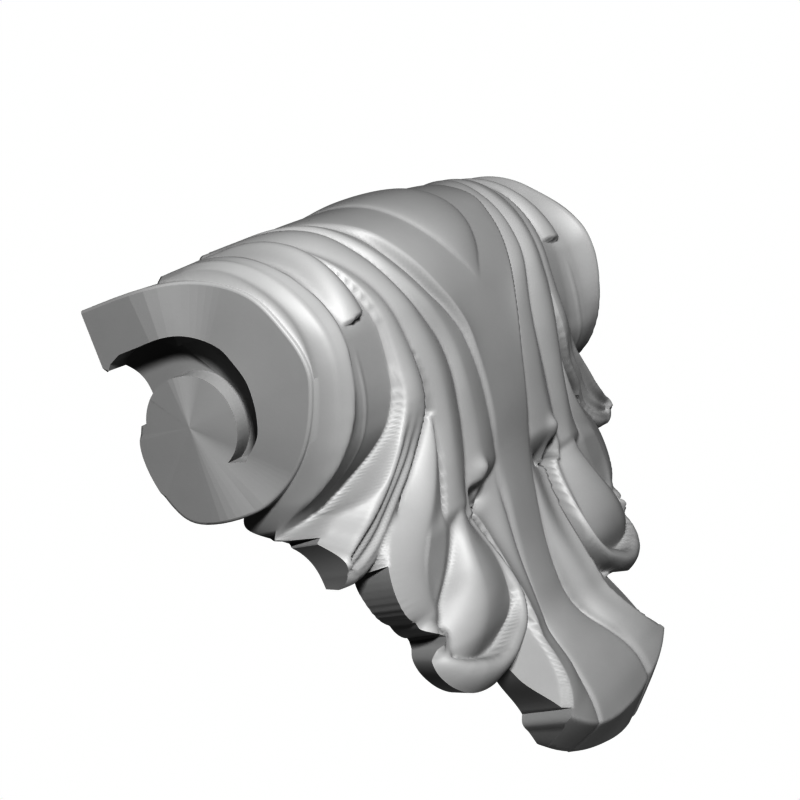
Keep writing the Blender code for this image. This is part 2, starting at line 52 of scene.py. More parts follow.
# The carving is set out in modules. F is forward and E down, both from the eye of the scroll,
# x is across from the middle, and u is x without its sign. t runs down the leaf from the middle
# of its front and is below 0 where the leaf bends back over the scroll. r, or stand-off, is how
# far the leaf stands out from the line it bends round.
WALL_F = -0.335
WALL_TOP_E = -0.68
WALL_LOW_E = -0.40
EYE_RADIUS = 0.235
EYE_E = -0.01
LEAF_START_T = -1.12
LEAF_END_T = 2.44
LEAF_HALF_WIDTH = 1.55

# outline of the scroll as (F, E), then the sunk turn: the inner side of the band beside it, its
# throat at the wall and the arc round the eye in degrees
SCROLL = [
    (-.335, -.68), (.09, -.68), (.26, -.62), (.40, -.55), (.50, -.48), (.57, -.39), (.61, -.27),
    (.65, -.19), (.66, -.10), (.66, -.04), (.64, .01), (.60, .10), (.54, .20), (.47, .28),
    (.39, .35), (.29, .41), (.19, .45), (.13, .46), (-.10, .45), (-.21, .40), (-.25, .32),
    (-.28, .26), (-.30, .18), (-.31, .11), (-.31, .04), (-.30, -.02), (-.27, -.07),
    (-.23, -.13), (-.22, -.21), (-.23, -.29), (-.27, -.35), (-.335, -.40)]
BAND = [
    (-.22, -.43), (-.11, -.43), (.01, -.43), (.11, -.41), (.20, -.36), (.28, -.29), (.32, -.21),
    (.35, -.12), (.35, -.03), (.33, .06), (.29, .14), (.19, .22)]
THROAT = [(-.36, -.33), (-.285, -.405)]
THROAT_LOW = (-.42, -.10)
TURN_FROM, TURN_TO, TURN_STEPS = 62, -160, 40

# how the scroll is rounded, dished and bevelled; the ends are its faces with many sides, and
# their middles the vertices with many spokes
ROUNDING_STEPS = 4
ROUNDING_PASSES = 14
DISH_F = (-.05, .40)
BEVEL_SEGMENTS = 3
MANY_SIDES = 8
MANY_SPOKES = 20
CUTTER_REACH = .1
RIM_FROM_Y = -.05

# how vertices beside the leaf's outline are moved onto it, and the sheet before its back is laid
SLOPE_STEP = .002
OUTLINE_PASSES = 4
LEAST_SLOPE = .05
FARTHEST = 1.2
NO_DISTANCE = 1e-9
SHEET_THICKNESS = .001

# what is left sharp: long walls over this length, and the facets of the dished ends
WALL_LENGTH = .1
RIM_ANGLE = math.radians(35)
END_FACING = .97
END_MARGIN = .01

# studio, in metres and degrees
KEY_TOWARD = Vector((-.58, -.69, .43))
KEY_TARGET = Vector((0, -.05, -.10))
KEY_DISTANCE = 2.0
KEY_SIZE = .35
CAMERA_PLACE = (-.7376, -.4869, -.0241)
CAMERA_TURN = (86.545, 21.079, -60.105)
SENSOR_WIDTH = 36
NEAREST_SEEN = .01


def curve(*knots):
    """smooth curve through (station, value) knots, held level beyond its ends"""
    k = np.array(knots, float)
    x, y = k[:, 0], k[:, 1]
    h = np.diff(x)
    d = np.diff(y) / h
    m = np.empty_like(y)
    m[1:-1] = (d[:-1] * h[1:] + d[1:] * h[:-1]) / (h[:-1] + h[1:])
    m[0], m[-1] = d[0], d[-1]

    def f(t):
        t = np.clip(t, x[0], x[-1])
        i = np.clip(np.searchsorted(x, t, side="right") - 1, 0, len(h) - 1)
        s = (t - x[i]) / h[i]
        return ((1 + 2 * s) * (1 - s) ** 2 * y[i] + s * (1 - s) ** 2 * h[i] * m[i]
                + s * s * (3 - 2 * s) * y[i + 1] + s * s * (s - 1) * h[i] * m[i + 1])
    return f


def ease(a, b, x):
    """0 at a and before, 1 at b and beyond, smooth between"""
    s = np.clip((x - a) / (b - a), 0, 1)
    return s * s * (3 - 2 * s)


def soft_max(a, b, k):
    """the higher of a and b, rounded over a difference of k"""
    h = np.clip(0.5 + 0.5 * (a - b) / k, 0, 1)
    return a * h + b * (1 - h) + k * h * (1 - h)


def lowest(*margins):
    """the lowest of several margins"""
    out = margins[0]
    for margin in margins[1:]:
        out = np.minimum(out, margin)
    return out


def hump(a, centre, width):
    """round bump of height 1 about the centre"""
    return np.exp(-((a - centre) / width) ** 2)


def quarter_round(v):
    """1 at 0, falling as a quarter circle to 0 at 1"""
    return np.sqrt(np.clip(1 - v ** 2, 0, 1))


class Line:
    """smooth centre line through (u, t) points, with stations counted from 0 at the first"""

    def __init__(self, *points, samples=40):
        p = np.array(points, float)
        n = np.arange(len(p))
        self.n = np.linspace(0, len(p) - 1, samples)
        self.u = curve(*np.c_[n, p[:, 0]])(self.n)
        self.t = curve(*np.c_[n, p[:, 1]])(self.n)

    def local(self, u, t):
        """station along the line, signed distance to its side, distance"""
        best = np.full(u.shape, np.inf)
        station = np.zeros(u.shape)
        side = np.zeros(u.shape)
        for i in range(len(self.n) - 1):
            du, dt = self.u[i + 1] - self.u[i], self.t[i + 1] - self.t[i]
            pu, pt = u - self.u[i], t - self.t[i]
            w = np.clip((pu * du + pt * dt) / (du * du + dt * dt), 0, 1)
            ex, ey = pu - w * du, pt - w * dt
            dist = np.hypot(ex, ey)
            near = dist < best
            best = np.where(near, dist, best)
            station = np.where(near, self.n[i] + w * (self.n[i + 1] - self.n[i]), station)
            side = np.where(near, np.sign(dt * ex - du * ey) * dist, side)
        return station, side, best


# stem and ribs: each curve gives a place u or a stand-off r at t
AXIS_R = curve((-.97, .622), (-.6, .65), (-.35, .645), (-.1, .62), (.15, .605), (.4, .575),
               (.6, .535), (.8, .475), (1.0, .43), (1.25, .385), (1.5, .365), (1.65, .37),
               (1.8, .43), (1.95, .50), (2.1, .545), (2.24, .545))
GROOVE_U = curve((-1.12, .92), (-.9, .80), (-.7, .71), (-.47, .62), (-.336, .56), (-.204, .50),
                 (-.066, .43), (.04, .37), (.146, .32), (.27, .285), (.42, .25), (.557, .23),
                 (.69, .215), (.82, .20), (.92, .19), (1.11, .175), (1.37, .17), (1.6, .185),
                 (1.8, .22), (2.0, .30), (2.2, .34))
GROOVE_R = curve((-.97, .60), (-.7, .60), (-.47, .59), (-.336, .562), (-.204, .552), (-.066, .555),
                 (.04, .575), (.146, .585), (.27, .578), (.42, .555), (.557, .525), (.69, .49),
                 (.82, .45), (.92, .425), (1.11, .395), (1.37, .35), (1.5, .335), (1.62, .33),
                 (1.74, .35), (1.9, .46), (2.05, .53), (2.3, .545))
RIB1_U = curve((-1.12, 1.0), (-.9, .88), (-.65, .775), (-.5, .725), (-.35, .68), (-.22, .635),
               (-.1, .585), (0, .53), (.1, .475), (.2, .435), (.4, .40), (.6, .385), (.75, .40),
               (.83, .42), (.95, .43))
RIB1_R = curve((-.97, .612), (-.65, .625), (-.5, .615), (-.35, .607), (-.22, .602), (-.1, .605),
               (0, .608), (.1, .606), (.2, .60), (.4, .575), (.6, .535), (.75, .505), (.83, .487),
               (.9, .46), (1.0, .42))
VALLEY_U = curve((-1.12, 1.03), (-.9, .92), (-.6, .80), (-.4, .745), (-.2, .69), (-.05, .63),
                 (.05, .58), (.15, .53), (.3, .495), (.5, .50), (.7, .52), (.9, .56), (1.0, .58))
VALLEY_R = curve((-.97, .603), (-.6, .60), (-.4, .583), (-.2, .578), (-.05, .585), (.1, .588),
                 (.3, .572), (.5, .54), (.7, .495), (.9, .44), (1.1, .41))
RIB2_U = curve((-1.12, 1.06), (-.9, .96), (-.6, .86), (-.4, .82), (-.2, .775), (0, .715),
               (.15, .68), (.3, .655), (.5, .645), (.7, .65), (.9, .66), (1.05, .66))
RIB2_R = curve((-.97, .607), (-.6, .62), (-.4, .607), (-.2, .605), (0, .61), (.15, .612), (.3, .60),
               (.5, .56), (.7, .51), (.9, .46), (1.1, .43))
CREASE_U = curve((-1.12, 1.12), (-.9, 1.07), (-.7, 1.05), (-.5, .99), (-.3, .93), (-.15, .875),
                 (0, .83), (.12, .80), (.25, .765), (.4, .74), (.55, .735), (.7, .745), (.85, .775),
                 (1.0, .83))
CREASE_R = curve((-.97, .59), (-.5, .585), (-.3, .57), (-.15, .572), (0, .585), (.12, .592),
                 (.25, .588), (.4, .56), (.55, .52), (.7, .475), (.85, .44), (1.0, .42))

LEAST_SPAN = 1e-4


def rise(v, p=1.0):
    """quarter wave from 0 to 1, steeper at its start for p below 1"""
    return np.sin(0.5 * np.pi * np.clip(v, 0, 1)) ** p


def span(a, u0, r0, u1, r1, up, p=1.0):
    """stand-off between (u0, r0) and (u1, r1): a rounded climb if up, else a rounded fall"""
    v = (a - u0) / np.maximum(u1 - u0, LEAST_SPAN)
    w = rise(v, p) if up else 1 - rise(1 - v, p)
    return r0 + (r1 - r0) * w


BANK = curve((-1.0, .0), (-.6, .015), (-.45, .04), (-.3, .055), (0, .06), (.15, .05), (.35, .025),
             (.6, .012), (.8, 0))
BANK_WIDTH = .035
RIB_POWER = .8
ROUND_POWER, ROUND_MORE, ROUND_T = 2.2, .2, (.8, .5)
VALLEY_SINK = .016
CREASE_SINK, CREASE_SINK_T = .02, (.75, .5)
KNOB_U, KNOB_T, KNOB_RADIUS, KNOB_RISE = .425, .825, .05, .028
FOOT_SINK, FOOT_SINK_T, FOOT_SINK_U = .07, (.92, 1.07), (.52, .6)
MERGE_DROP, MERGE_T, MERGE_U = .28, (.80, 1.15), (.46, .36)
RIB_END, RIB_END_INNER, RIB_END_OUTER, RIB_OUTER_U = .905, .20, .16, (.44, .60)


def ribs(a, t):
    """groove beside the middle, first rib, valley, second rib and the crease beyond it"""
    gu, gr = GROOVE_U(t), GROOVE_R(t)
    u1, r1 = RIB1_U(t), RIB1_R(t)
    v2, w2 = VALLEY_U(t), VALLEY_R(t) - VALLEY_SINK
    u2, r2 = RIB2_U(t), RIB2_R(t)
    cu, cr = CREASE_U(t), CREASE_R(t) - CREASE_SINK * ease(*CREASE_SINK_T, t)
    v = np.clip(a / gu, 0, 1)
    bank = BANK(t)
    power = ROUND_POWER + ROUND_MORE * ease(*ROUND_T, t)
    middle = (AXIS_R(t) - gr - bank) * np.sqrt(np.clip(1 - v ** power, 0, 1))
    h = gr + middle + bank * ease(0, BANK_WIDTH, gu - a)
    h = np.where(a > gu, span(a, gu, gr, u1, r1, True, RIB_POWER), h)
    h = np.where(a > u1, span(a, u1, r1, v2, w2, False), h)
    h = np.where(a > v2, span(a, v2, w2, u2, r2, True), h)
    h = np.where(a > u2, span(a, u2, r2, cu, cr, False, RIB_POWER), h)
    h = h + KNOB_RISE * np.exp(-((a - KNOB_U) ** 2 + (t - KNOB_T) ** 2) / KNOB_RADIUS ** 2)
    h = h - FOOT_SINK * ease(*FOOT_SINK_T, t) * ease(*FOOT_SINK_U, a)
    inward = ease(*MERGE_U, a)
    h = h - MERGE_DROP * ease(*MERGE_T, t) * inward
    bottom = RIB_END + RIB_END_INNER * inward + RIB_END_OUTER * ease(*RIB_OUTER_U, a)
    return h, lowest(cu - a, bottom - t)


TONGUE_U = curve((-1.12, .37), (-.8, .31), (-.65, .29), (-.5, .27), (-.35, .22), (-.2, .13),
                 (-.08, .04), (0, .01))
TONGUE_RISE, TONGUE_LOW_T, TONGUE_TOP_T = .03, (-.02, -.3), (-1.15, -.9)
LEAST_WIDTH = 1e-3


def tongue(a, t):
    """rise of the middle over the top of the leaf, on top of all the layers"""
    w = np.maximum(TONGUE_U(t), LEAST_WIDTH)
    lift = TONGUE_RISE * ease(*TONGUE_LOW_T, t) * ease(*TONGUE_TOP_T, t)
    return lift * quarter_round(a / w)


# first lobe: steep flank at the edge, band up to its ridge, body that turns under at its tip
EDGE_1 = 1.47
RIDGE_U = curve((-1.12, 1.36), (-.8, 1.36), (-.5, 1.35), (-.2, 1.335), (-.05, 1.34), (.083, 1.35),
                (.25, 1.36), (.331, 1.37), (.447, 1.40), (.545, 1.43), (.607, 1.45), (.66, 1.463))
RIDGE_R = curve((-.97, .575), (-.6, .575), (-.37, .575), (-.2, .585), (-.05, .597), (.083, .592),
                (.25, .545), (.331, .508), (.447, .425), (.545, .312), (.607, .19), (.66, .03),
                (.8, -.10))
FOOT_R = curve((-.97, .545), (-.7, .52), (-.53, .50), (-.343, .49), (-.19, .485), (-.05, .475),
               (.07, .46), (.17, .42), (.26, .37), (.35, .31), (.45, .22), (.53, .10), (.58, .03),
               (.66, -.02), (.8, -.12))
BODY_R = curve((-.97, .545), (-.5, .535), (-.2, .53), (0, .53), (.15, .515), (.26, .495),
               (.35, .465), (.45, .41), (.54, .31), (.61, .20), (.66, .13), (.70, .07),
               (.77, -.04), (.83, -.14))
BULGE, BULGE_X = .055, (1.1, 1.35)
BULGE_1_FROM_T, BULGE_1_TO_T = (-.5, 0), (.75, .55)
FLANK_EARLY, FLANK_EARLY_POWER = .62, 1.25
FLANK_LATE, FLANK_LATE_POWER = .38, 6
FLANK_BEAD, FLANK_BEAD_AT, FLANK_BEAD_WIDTH = .006, .62, .1
BODY_SINK, BODY_SINK_U, BODY_SINK_T = .03, (1.0, 1.25), (.0, -.3)
RIDGE_WIDTH = .11
BODY_BEAD, BODY_BEAD_AT, BODY_BEAD_WIDTH, BODY_BEAD_T = .005, .16, .012, (.0, .2)
TIP_1, TIP_1_U = .82, 1.38
TIP_1_OUT, TIP_1_OUT_WIDTH = .02, .09
TIP_1_IN, TIP_1_IN_WIDTH = .05, .2


def lobe1(a, t, x):
    """outer lobe beside the scroll's end"""
    ur, rr, rf = RIDGE_U(t), RIDGE_R(t), FOOT_R(t)
    v = np.clip((a - ur) / (EDGE_1 - ur), 0, 1)
    fall = FLANK_EARLY * v ** FLANK_EARLY_POWER + FLANK_LATE * v ** FLANK_LATE_POWER
    outer = rr - (rr - rf) * fall + FLANK_BEAD * hump(v, FLANK_BEAD_AT, FLANK_BEAD_WIDTH)
    body = BODY_R(t) - BODY_SINK * ease(*BODY_SINK_U, a) * ease(*BODY_SINK_T, t)
    w = np.clip((ur - a) / RIDGE_WIDTH, 0, 1)
    bead = BODY_BEAD * hump(ur - a, BODY_BEAD_AT, BODY_BEAD_WIDTH) * ease(*BODY_BEAD_T, t)
    inner = rr + (body - rr) * w * (2 - w) + bead
    swell = BULGE * ease(*BULGE_X, x) * ease(*BULGE_1_FROM_T, t) * ease(*BULGE_1_TO_T, t)
    h = np.where(a > ur, outer, inner) + swell
    tip = (TIP_1 - TIP_1_OUT * np.clip((a - TIP_1_U) / TIP_1_OUT_WIDTH, 0, 1) ** 2
           - TIP_1_IN * np.clip((TIP_1_U - a) / TIP_1_IN_WIDTH, 0, 1))
    return h, lowest(EDGE_1 - a, tip - t)


FOLD_U = curve((-1.12, 1.13), (-.8, 1.10), (-.5, 1.09), (-.3, 1.10), (-.1, 1.11))
FOLD_W = curve((-1.12, .05), (-.8, .06), (-.5, .075), (-.1, .11))
FOLD_R = curve((-.97, .59), (-.6, .60), (-.3, .59), (-.09, .582))
FOLD_FALL, FOLD_REACH = .07, 2
FOLD_END_T, FOLD_END_SLANT = -.095, .02


def fold(a, t):
    """fold between the first and second lobes on top, cut off short over the front"""
    v = (a - FOLD_U(t)) / FOLD_W(t)
    h = FOLD_R(t) - FOLD_FALL * np.clip(np.abs(v), 0, FOLD_REACH) ** 2
    return h, (FOLD_END_T + FOLD_END_SLANT * v) - t


# second lobe: its curves run by station along its centre line
LOBE2 = Line((1.06, -1.0), (1.0, -.6), (.93, -.3), (.88, -.05), (.865, .15), (.885, .37),
             (.97, .545), (1.095, .68), (1.225, .82), (1.35, .893), (1.44, .925))
LOBE2_W = curve((0, .05), (3, .06), (4, .07), (5, .075), (6, .08), (7, .08), (8, .085), (9, .08),
                (10, .06))
LOBE2_TOP = curve((0, .58), (2, .57), (3, .56), (4, .545), (5, .53), (6, .49), (7, .455), (8, .38),
                  (9, .335), (10, .31))
LOBE2_LOW = curve((0, .575), (2, .56), (3, .565), (4, .57), (5, .555), (6, .47), (7, .41), (8, .33),
                  (9, .29), (10, .28))
CROWN_2, CROWN_2_FROM, CROWN_2_TO = .02, (1, 3.5), (6.0, 4.5)
HOLLOW_2, HOLLOW_2_FROM = .03, (5.5, 8)
FLUTE_2, FLUTE_2_COUNT, FLUTE_2_FROM = .009, 3, (5, 7)
ARRIS_2, ARRIS_2_AT = .012, .75
LATE_2 = (7, 8.5)
ROUND_2, ROUND_2_WIDTH, ROUND_2_SIDE = .17, .06, (.3, -.3)
FLANK_2, FLANK_2_SIDE = 1.3, (0, .3)
WIDER_2, WIDER_2_OUT, WIDER_2_SIDE = .06, .03, (0, .6)
EDGE_2, END_2 = 1.505, 1.015


def lobe2(a, t, x):
    """lobe along its centre line, fluted on top; v is +1 at its outer side and -1 at its inner"""
    s, side, dist = LOBE2.local(a, t)
    w = LOBE2_W(s)
    v = side / w
    top, low = LOBE2_TOP(s), LOBE2_LOW(s)
    c = np.clip(v, -1, 1)
    crown = 1 - c * c
    h = .5 * (top + low) + .5 * (top - low) * c
    h = h + CROWN_2 * crown * ease(*CROWN_2_FROM, s) * ease(*CROWN_2_TO, s)
    h = h - HOLLOW_2 * crown * ease(*HOLLOW_2_FROM, s)
    h = h + FLUTE_2 * np.cos(c * FLUTE_2_COUNT * np.pi) * ease(*FLUTE_2_FROM, s)
    h = h - ARRIS_2 * np.clip((c - ARRIS_2_AT) / (1 - ARRIS_2_AT), 0, 1) ** 2
    late = ease(*LATE_2, s)
    beyond = np.clip(dist - w, 0, None)
    over = np.clip(beyond / ROUND_2_WIDTH, 0, 1) * late
    h = h - ROUND_2 * (1 - quarter_round(over)) * ease(*ROUND_2_SIDE, v)
    h = h + BULGE * ease(*BULGE_X, x)
    h = h - FLANK_2 * beyond * ease(*FLANK_2_SIDE, v)
    margin = w + late * (WIDER_2 + WIDER_2_OUT * ease(*WIDER_2_SIDE, v)) - dist
    return h, lowest(margin, EDGE_2 - a, END_2 - t)


# third lobe: its outer part, the lip round its end and the bowl inside the lip
LOBE3A = Line((.745, .47), (.78, .62), (.835, .75), (.91, .86), (1.0, .96), (1.07, 1.07),
              (1.10, 1.2), (1.09, 1.3))
LOBE3A_W = curve((0, .02), (1, .07), (2, .11), (3, .14), (4, .17), (5, .20), (6, .18), (7, .11))
LOBE3A_R = curve((0, .52), (1, .495), (2, .468), (3, .445), (4, .42), (5, .395), (6, .375),
                 (7, .36))
LOBE3A_DROP = curve((0, .04), (2, .08), (3, .085), (4, .08), (5, .07), (7, .05))
LOBE3A_DROP_POWER, LOBE3A_REACH = 1.5, 1.2
INNER_DROP, INNER_DROP_POWER, INNER_REACH = .05, 1.3, 1.4


def lobe3a(a, t):
    """outer part of the third lobe, rounded off to both sides of its centre line"""
    s, side, dist = LOBE3A.local(a, t)
    w = LOBE3A_W(s)
    v = side / w
    outward = LOBE3A_DROP(s) * np.clip(v, 0, LOBE3A_REACH) ** LOBE3A_DROP_POWER
    inward = INNER_DROP * np.clip(-v, 0, INNER_REACH) ** INNER_DROP_POWER
    return LOBE3A_R(s) - outward - inward, w - dist


LIP = Line((.53, .97), (.485, 1.1), (.458, 1.24), (.445, 1.38), (.462, 1.49), (.525, 1.59),
           (.62, 1.66), (.74, 1.72), (.88, 1.755), (1.02, 1.735), (1.12, 1.67), (1.175, 1.58),
           (1.175, 1.5), (1.12, 1.44), samples=60)
LIP_R = curve((0, .385), (1, .395), (2, .43), (3, .465), (4, .48), (5, .485), (6, .485), (7, .48),
              (8, .465), (9, .445), (10, .42), (11, .39), (12, .37), (13, .36))
LIP_W = curve((0, .03), (1, .035), (2, .04), (3, .045), (4, .05), (5, .065), (6, .085), (7, .10),
              (8, .13), (9, .145), (10, .135), (11, .115), (12, .10), (13, .08))
LIP_TOP = curve((0, .3), (3, .3), (5, .4), (7, .6), (9, .75), (13, .75))
LIP_OUT = curve((0, .01), (4, .02), (6, .05), (8, .085), (10, .09), (12, .07))
LIP_IN = curve((0, .01), (3, .02), (6, .02), (8, .02), (10, .02), (12, .02))
LIP_IN_REACH, LIP_IN_POWER = 1.2, 1.6


def lip(a, t):
    """rolled lip round the end of the third lobe"""
    s, side, _ = LIP.local(a, t)
    w, top = LIP_W(s), LIP_TOP(s)
    q = side / w
    out = np.clip((top - q) / top, 0, 1)
    into = np.clip((q - top) / (1 - top), 0, LIP_IN_REACH)
    h = LIP_R(s) - LIP_OUT(s) * out ** 2 - LIP_IN(s) * into ** LIP_IN_POWER
    return h, lowest(side, w - side)


CREST3A_U = curve((.62, .74), (.75, .80), (.86, .885), (.96, .985), (1.07, 1.06), (1.2, 1.10),
                  (1.3, 1.09), (1.45, 1.12))
EDGE_U = curve((.80, .60), (.90, .57), (.98, .535), (1.1, .495), (1.24, .468), (1.38, .455),
               (1.49, .475), (1.58, .53), (1.66, .62))
BED_U = curve((.80, .64), (.90, .60), (1.0, .56), (1.1, .53), (1.2, .505), (1.385, .495),
              (1.5, .535), (1.58, .66))
BED_R = curve((.80, .47), (.90, .42), (1.0, .385), (1.1, .395), (1.2, .415), (1.385, .425),
              (1.5, .41), (1.58, .38))
CREST_U = curve((.80, .66), (.90, .67), (1.0, .69), (1.1, .725), (1.2, .755), (1.3, .78),
                (1.4, .81), (1.5, .86), (1.6, .90))
CREST_R = curve((.80, .487), (.90, .465), (1.0, .445), (1.1, .455), (1.2, .472), (1.3, .485),
                (1.4, .48), (1.5, .445), (1.6, .37))
FOLD3_U = curve((.80, .735), (.90, .735), (1.0, .755), (1.1, .80), (1.2, .875), (1.3, 1.0),
                (1.4, 1.08), (1.5, 1.12))
FOLD3_R = curve((.80, .45), (.90, .425), (1.0, .40), (1.1, .375), (1.2, .35), (1.3, .335),
                (1.4, .33), (1.5, .33))
BED_POWER, CREST_POWER = 1.05, .9
LIFT_3, LIFT_3_WIDTH = .02, .1
HEAD_SINK, HEAD_SINK_T = .03, (1.0, .86)
BOWL_START_T, BOWL_END_T, BOWL_END_SLANT, BOWL_SLANT_U = .70, 1.70, .72, .9
FOLD3_MARGIN = .03


def bowl(a, t):
    """hollow of the third lobe: bed beside the lip, dome and the fold beyond it"""
    ub, rb = BED_U(t), BED_R(t)
    ur, rr = CREST_U(t), CREST_R(t)
    uc, rc = FOLD3_U(t), FOLD3_R(t)
    h = np.where(a > ub, span(a, ub, rb, ur, rr, True, BED_POWER), rb)
    h = np.where(a > ur, span(a, ur, rr, uc, rc, False, CREST_POWER), h)
    h = np.where(a > uc, rc + LIFT_3 * ease(0, LIFT_3_WIDTH, a - uc), h)
    h = h - HEAD_SINK * ease(*HEAD_SINK_T, t)
    low = BOWL_END_T - BOWL_END_SLANT * np.clip(a - BOWL_SLANT_U, 0, None)
    outer = np.maximum(uc + FOLD3_MARGIN, CREST3A_U(t)) - a
    return h, lowest(a - EDGE_U(t), outer, low - t, t - BOWL_START_T)


# stem from below the ribs to its foot
STEM_EDGE = curve((.85, .56), (.95, .48), (1.05, .425), (1.2, .395), (1.35, .385), (1.5, .39),
                  (1.6, .40), (1.7, .42), (1.8, .445), (1.9, .49), (2.0, .57), (2.06, .635),
                  (2.12, .61), (2.2, .58), (2.4, .5))
RIM_R = curve((.85, .36), (1.0, .36), (1.1, .37), (1.3, .40), (1.5, .44), (1.6, .455), (1.7, .465),
              (1.8, .505), (1.9, .545), (2.0, .57), (2.06, .575), (2.4, .56))
STEM_START_T = .80
STEM_ROUND_POWER = 2.2
STEM_SIDE_POWER = .75
STEM_WAVE, STEM_WAVE_END_T, STEM_WAVE_START_T = .010, (2.0, 1.7), (.85, 1.1)
NOTCH, NOTCH_WIDTH, NOTCH_T = .014, .02, (.8, 1.1)
PIT, PIT_U, PIT_WIDTH, PIT_T, PIT_LENGTH = .12, .46, .10, .955, .04
FOOT_T, FOOT_RISE, FOOT_HALF_WIDTH, FOOT_POWER, FOOT_REACH_U = 2.245, .185, .63, 2.4, .9
WIDER_X = (-.5, .5)
TURN_UNDER_T, TURN_UNDER_MORE_T = .10, .12
TURN_UNDER_DROP, TURN_UNDER_LESS_DROP, TURN_UNDER_POWER = .22, .03, 1.1
FOOT_WIDER, FOOT_WIDER_T = .05, (2.06, 2.2)


def stem(a, t, x):
    """stem between its two grooves, widening to a foot that turns under at its end"""
    gu, gr = GROOVE_U(t), GROOVE_R(t)
    e, rr = STEM_EDGE(t), RIM_R(t)
    v = np.clip(a / gu, 0, 1)
    mid = gr + (AXIS_R(t) - gr) * np.sqrt(np.clip(1 - v ** STEM_ROUND_POWER, 0, 1))
    v = np.clip((a - gu) / np.maximum(e - gu, LEAST_WIDTH), 0, 1)
    wave = STEM_WAVE * np.sin(2 * np.pi * v)
    wave = wave * ease(*STEM_WAVE_END_T, t) * ease(*STEM_WAVE_START_T, t)
    side = gr + (rr - gr) * rise(v, STEM_SIDE_POWER) + wave
    h = np.where(a < gu, mid, side) - NOTCH * hump(a, gu, NOTCH_WIDTH) * ease(*NOTCH_T, t)
    h = h - PIT * np.exp(-((a - PIT_U) / PIT_WIDTH) ** 2 - ((t - PIT_T) / PIT_LENGTH) ** 2)
    rim = FOOT_T - FOOT_RISE * (np.clip(a, 0, FOOT_REACH_U) / FOOT_HALF_WIDTH) ** FOOT_POWER
    wider = ease(*WIDER_X, x)
    reach = TURN_UNDER_T + TURN_UNDER_MORE_T * wider
    turn = np.clip((t - rim) / reach, 0, 1)
    h = h - (TURN_UNDER_DROP - TURN_UNDER_LESS_DROP * wider) * turn ** TURN_UNDER_POWER
    beside = e + FOOT_WIDER * wider * ease(*FOOT_WIDER_T, t) - a
    return h, lowest(beside, rim + reach - t, t - STEM_START_T)


PLATE_R, PLATE_SLOPE_T, PLATE_MIDDLE_T = .45, .5, 1.87
PLATE_SLOPE_U, PLATE_MIDDLE_U = .40, .60
PLATE_EDGE, PLATE_TAPER, PLATE_TAPER_T = .668, .07, (1.80, 2.05)
PLATE_END_T, PLATE_END_SLANT, PLATE_END_U = 2.04, .25, .67
PLATE_START_T = .9
PLATE_UNDER_STEM = .03


def plate(a, t):
    """small flat leaf behind the foot of the stem"""
    h = PLATE_R + PLATE_SLOPE_T * (t - PLATE_MIDDLE_T) - PLATE_SLOPE_U * (a - PLATE_MIDDLE_U)
    outer = PLATE_EDGE - PLATE_TAPER * ease(*PLATE_TAPER_T, t) - a
    low = PLATE_END_T - PLATE_END_SLANT * (PLATE_END_U - a) - t
    return h, lowest(outer, low, t - PLATE_START_T, a - STEM_EDGE(t) + PLATE_UNDER_STEM)


WEB_R = .20
WEB_EDGE, WEB_FROM_T, WEB_TO_T = .56, .8, 1.62
WEB_UNDER_STEM = .01


def web(a, t):
    """floor behind the eyelet and between the third lobe and the stem"""
    h = np.full(a.shape, WEB_R)
    return h, lowest(WEB_EDGE - a, t - WEB_FROM_T, WEB_TO_T - t, a - STEM_EDGE(t) + WEB_UNDER_STEM)


# how fast a layer falls away outside its own outline, and how far two layers are rounded into
# each other
FALL = 5.0
STEEP = 5.5
JOIN = .012
STEM_JOIN = .002
NO_LAYER = -1.0
LEAST_R = -.12
EYELET_U, EYELET_HALF_U = .475, .05
EYELET_T, EYELET_HALF_T = .935, .05
EYELET_DEPTH = .08
BEAD_U, BEAD_T = 1.15, 1.42
BEAD_RADIUS = .09
BEAD_RISE, BEAD_POWER = .06, 1.5


def surface(x, t):
    """stand-off and cover of the leaf at (x, t); cover is positive on the leaf"""
    a = np.abs(x)
    best = np.full(a.shape, NO_LAYER)
    cover = np.full(a.shape, NO_LAYER)
    gentle = (ribs(a, t), lobe1(a, t, x), lobe2(a, t, x), lobe3a(a, t), bowl(a, t), plate(a, t))
    middle = (stem(a, t, x),)
    steep = (lip(a, t), web(a, t))
    for layers, fall, join in (
            (gentle, FALL, JOIN), (middle, STEEP, STEM_JOIN), (steep, STEEP, JOIN)):
        for h, margin in layers:
            best = soft_max(best, h - fall * np.clip(-margin, 0, None), join)
            cover = np.maximum(cover, margin)
    h, margin = fold(a, t)
    best = soft_max(best, h - FALL * np.clip(-margin, 0, None), JOIN)
    across, along = (a - EYELET_U) / EYELET_HALF_U, (t - EYELET_T) / EYELET_HALF_T
    best = best - EYELET_DEPTH * np.exp(-across ** 4 - along ** 4)
    bead = ((a - BEAD_U) ** 2 + (t - BEAD_T) ** 2) / BEAD_RADIUS ** 2
    best = best + BEAD_RISE * np.clip(1 - bead, 0, 1) ** BEAD_POWER
    return np.maximum(best, LEAST_R) + tongue(a, t), cover


# line that the top of the leaf bends round, and the radius that turns t into an angle
AXIS_F, AXIS_E, TURN = .20, -.12, .62


def place(x, t, r):
    """front point of the leaf in (F, E) for stand-off r"""
    ang = np.clip(-t / TURN, 0, np.pi / 2)
    back = np.clip(-t - TURN * np.pi / 2, 0, None)
    F = AXIS_F + r * np.cos(ang) - back
    E = AXIS_E - r * np.sin(ang) + np.clip(t, 0, None)
    return F, E


